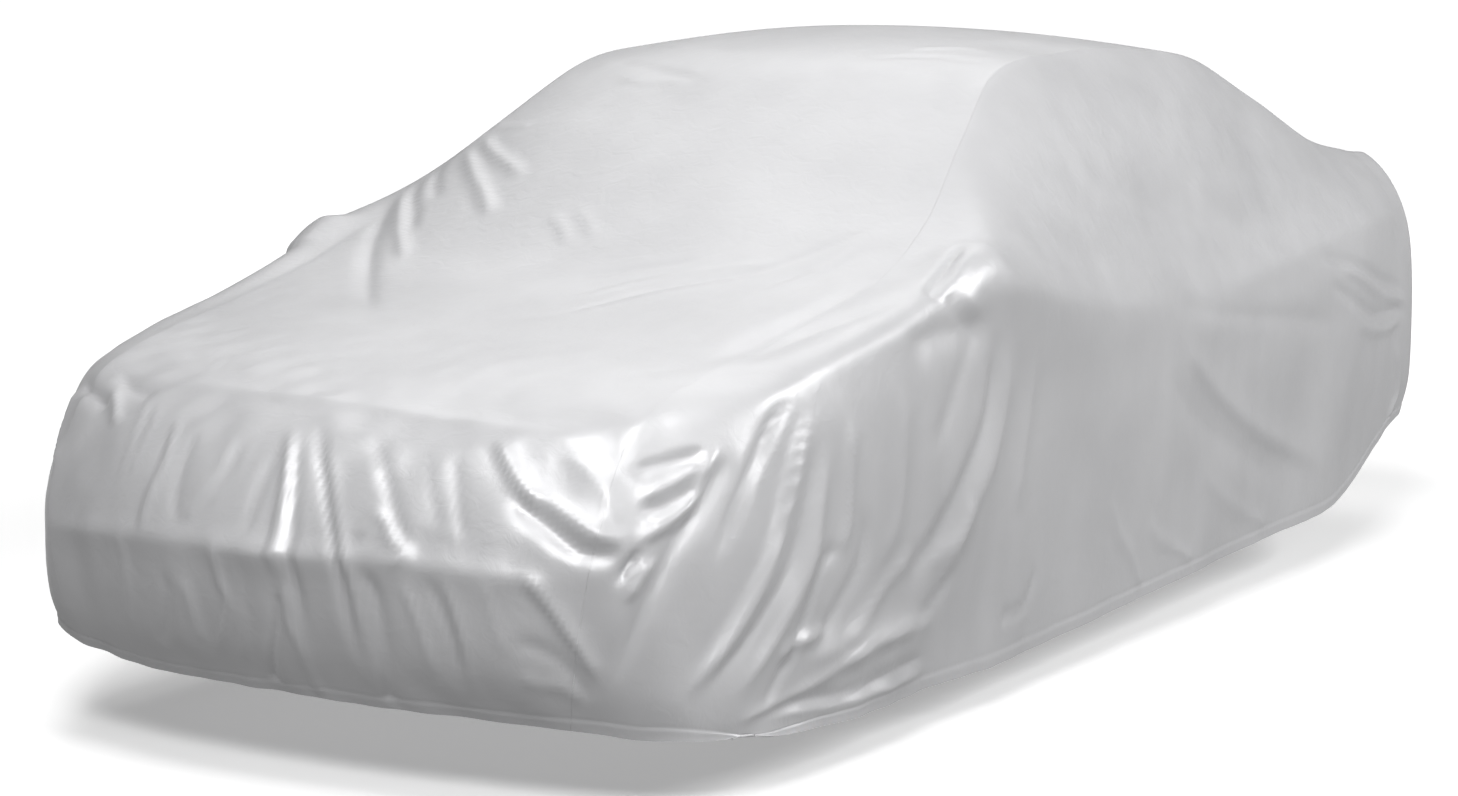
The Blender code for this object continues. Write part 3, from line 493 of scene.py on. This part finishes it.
def make_sheet(name, points, facing, thick, flat, material):
    """One panel as a thin closed sheet; its shading runs on smoothly across the seams."""
    rows, cols = points.shape[:2]
    inner = points - facing * thick[..., None]
    vertices = np.concatenate([points.reshape(-1, 3), inner.reshape(-1, 3)])
    quads, smooth_faces = shell_quads(rows, cols)
    mesh = bpy.data.meshes.new(name)
    mesh.vertices.add(len(vertices))
    mesh.vertices.foreach_set("co", vertices.astype(np.float32).ravel())
    mesh.loops.add(quads.size)
    mesh.loops.foreach_set("vertex_index", quads.astype(np.int32).ravel())
    mesh.polygons.add(len(quads))
    mesh.polygons.foreach_set("loop_start", np.arange(0, quads.size, 4, dtype=np.int32))
    mesh.update(calc_edges=True)
    mesh.validate()
    up = np.concatenate([facing.reshape(-1, 3), -facing.reshape(-1, 3)])[quads.ravel()]
    edge = quads[smooth_faces:]
    a, b, c = (vertices[edge[:, k]] for k in (0, 1, 3))
    rim = np.cross(b - a, c - a)
    rim /= np.linalg.norm(rim, axis=1, keepdims=True) + 1e-12
    up[smooth_faces * 4:] = np.repeat(rim, 4, axis=0)
    mesh.normals_split_custom_set(up.tolist())
    weave = np.tile(flat.reshape(-1, 2), (2, 1))[quads.ravel()]
    mesh.uv_layers.new(name="cloth").data.foreach_set("uv", weave.astype(np.float32).ravel())
    mesh.materials.append(material)
    sheet = bpy.data.objects.new(name, mesh)
    bpy.context.scene.collection.objects.link(sheet)
    return sheet


def noise(nodes, links, vector, scale, detail, distortion=0.0):
    """A noise texture on the given coordinates."""
    texture = nodes.new("ShaderNodeTexNoise")
    texture.inputs["Scale"].default_value = scale
    texture.inputs["Detail"].default_value = detail
    texture.inputs["Distortion"].default_value = distortion
    links.new(vector, texture.inputs["Vector"])
    return texture.outputs["Fac"]


def remap(nodes, links, value, low, high, to_low, to_high):
    """The value's range low..high turned into to_low..to_high."""
    turned = nodes.new("ShaderNodeMapRange")
    for socket, number in (("From Min", low), ("From Max", high),
                           ("To Min", to_low), ("To Max", to_high)):
        turned.inputs[socket].default_value = number
    links.new(value, turned.inputs["Value"])
    return turned.outputs["Result"]


def bump(nodes, links, height, strength, distance, under=None):
    """Surface relief from a height, on top of another relief when one is given."""
    relief = nodes.new("ShaderNodeBump")
    relief.inputs["Strength"].default_value = strength
    relief.inputs["Distance"].default_value = distance
    links.new(height, relief.inputs["Height"])
    if under is not None:
        links.new(under, relief.inputs["Normal"])
    return relief.outputs["Normal"]


def threads(nodes, links, vector, direction):
    """Fine parallel threads, WEAVE_PITCH apart, across the flat cloth."""
    wave = nodes.new("ShaderNodeTexWave")
    wave.bands_direction = direction
    wave.inputs["Scale"].default_value = 2 * math.pi / (20 * WEAVE_PITCH)
    wave.inputs["Distortion"].default_value = 0.6
    wave.inputs["Detail Scale"].default_value = 2.0
    links.new(vector, wave.inputs["Vector"])
    return wave.outputs["Fac"]


def silver_cloth():
    """Thin silver-coated cloth: pale grey satin with a fine weave, crinkles and cloudy tone."""
    material = bpy.data.materials.new("silver_cloth")
    material.use_nodes = True
    nodes, links = material.node_tree.nodes, material.node_tree.links
    shader = nodes["Principled BSDF"]
    shader.inputs["Metallic"].default_value = 0.15
    shader.inputs["Sheen Weight"].default_value = 0.15
    shader.inputs["Sheen Roughness"].default_value = 0.4
    place = nodes.new("ShaderNodeTexCoord")
    cloud = noise(nodes, links, place.outputs["Object"], 3.0, 5.0)
    tone = nodes.new("ShaderNodeValToRGB")
    tone.color_ramp.elements[0].position = 0.3
    tone.color_ramp.elements[0].color = (0.47, 0.47, 0.48, 1)
    tone.color_ramp.elements[1].position = 0.7
    tone.color_ramp.elements[1].color = (0.52, 0.52, 0.53, 1)
    links.new(cloud, tone.inputs["Fac"])
    links.new(tone.outputs["Color"], shader.inputs["Base Color"])
    rubbed = noise(nodes, links, place.outputs["Object"], 9.0, 4.0)
    links.new(remap(nodes, links, rubbed, 0.3, 0.7, 0.37, 0.47), shader.inputs["Roughness"])
    weave = nodes.new("ShaderNodeMath")
    weave.operation = "MAXIMUM"
    for slot, direction in enumerate(("X", "Y")):
        links.new(threads(nodes, links, place.outputs["UV"], direction), weave.inputs[slot])
    fine = bump(nodes, links, weave.outputs[0], 0.12, 0.0002)
    crinkle = noise(nodes, links, place.outputs["Object"], 24.0, 4.0, 0.8)
    soft = bump(nodes, links, crinkle, 0.30, 0.004, fine)
    links.new(soft, shader.inputs["Normal"])
    return material


def floor_material():
    """Pale floor that fades into the white backdrop some metres away from the cover."""
    material = bpy.data.materials.new("pale_floor")
    material.use_nodes = True
    nodes, links = material.node_tree.nodes, material.node_tree.links
    shader = nodes["Principled BSDF"]
    shader.inputs["Base Color"].default_value = (0.9, 0.9, 0.9, 1)
    shader.inputs["Roughness"].default_value = 0.8
    shader.inputs["Emission Color"].default_value = (1, 1, 1, 1)
    place = nodes.new("ShaderNodeTexCoord")
    far = nodes.new("ShaderNodeVectorMath")
    far.operation = "LENGTH"
    links.new(place.outputs["Object"], far.inputs[0])
    glow = remap(nodes, links, far.outputs["Value"], FADE_START, FADE_END, 0.30, 1.1)
    links.new(glow, shader.inputs["Emission Strength"])
    return material


def add_floor():
    """The floor, seen by the camera but throwing no light on the cover."""
    bpy.ops.mesh.primitive_plane_add(size=FLOOR_SIZE, location=(0, 0, -REST[2]))
    floor = bpy.context.object
    floor.name = "studio_floor"
    floor.data.materials.append(floor_material())
    floor.visible_diffuse = False
    floor.visible_glossy = False


def add_light(name, place, aim, size, power):
    """A soft rectangular lamp turned towards its aim."""
    data = bpy.data.lights.new(name, "AREA")
    data.energy = power
    data.shape = "RECTANGLE"
    data.size, data.size_y = size
    lamp = bpy.data.objects.new(name, data)
    bpy.context.scene.collection.objects.link(lamp)
    lamp.location = place
    direction = Vector(aim) - Vector(place)
    lamp.rotation_euler = direction.to_track_quat("-Z", "Y").to_euler()


def add_camera():
    """The camera, low in front of the cover's left corner."""
    data = bpy.data.cameras.new("camera")
    data.sensor_width = 36.0
    data.lens = CAMERA_LENS
    camera = bpy.data.objects.new("camera", data)
    bpy.context.scene.collection.objects.link(camera)
    camera.location = Vector(CAMERA_PLACE) - Vector(REST)
    camera.rotation_euler = (math.radians(90 - CAMERA_DOWN), 0, math.radians(CAMERA_TURN))
    bpy.context.scene.camera = camera


def sky(world):
    """White to the camera; as light it is black above and grey below, as over a pale floor."""
    nodes, links = world.node_tree.nodes, world.node_tree.links
    backdrop = nodes["Background"]
    backdrop.inputs["Color"].default_value = (1, 1, 1, 1)
    backdrop.inputs["Strength"].default_value = 1.0
    place = nodes.new("ShaderNodeTexCoord")
    height = nodes.new("ShaderNodeSeparateXYZ")
    links.new(place.outputs["Generated"], height.inputs[0])
    ramp = nodes.new("ShaderNodeValToRGB")
    ramp.color_ramp.interpolation = "EASE"
    stops = [(0.48, GROUND_GLOW), (0.60, 0.0)]
    for element, (position, grey) in zip(ramp.color_ramp.elements, stops):
        element.position = position
        element.color = (grey, grey, grey, 1)
    links.new(remap(nodes, links, height.outputs["Z"], -1, 1, 0, 1), ramp.inputs["Fac"])
    glow = nodes.new("ShaderNodeBackground")
    links.new(ramp.outputs["Color"], glow.inputs["Color"])
    seen = nodes.new("ShaderNodeLightPath")
    mix = nodes.new("ShaderNodeMixShader")
    links.new(seen.outputs["Is Camera Ray"], mix.inputs[0])
    links.new(glow.outputs[0], mix.inputs[1])
    links.new(backdrop.outputs[0], mix.inputs[2])
    links.new(mix.outputs[0], nodes["World Output"].inputs["Surface"])


def add_studio():
    """The backdrop and the lamps."""
    world = bpy.data.worlds.new("studio")
    world.use_nodes = True
    bpy.context.scene.world = world
    sky(world)
    for lamp in LAMPS:
        add_light(*lamp)
    bpy.context.scene.view_settings.view_transform = "Standard"


def add_panels():
    """The three sheets of the cover, each in place of its plain solid."""
    outer, across, thick = cover_grid()
    facing = normals(outer)
    flat_places = cloth_lengths(outer)
    cloth = silver_cloth()
    for name, node, low, high in PANELS:
        points, keep = panel_points(outer, across, low, high)
        sheet = make_sheet(name, points, facing[:, keep], thick[:, keep],
                           flat_places[:, keep], cloth)
        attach(sheet, "root")
        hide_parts(node)


add_panels()
add_floor()
add_camera()
add_studio()
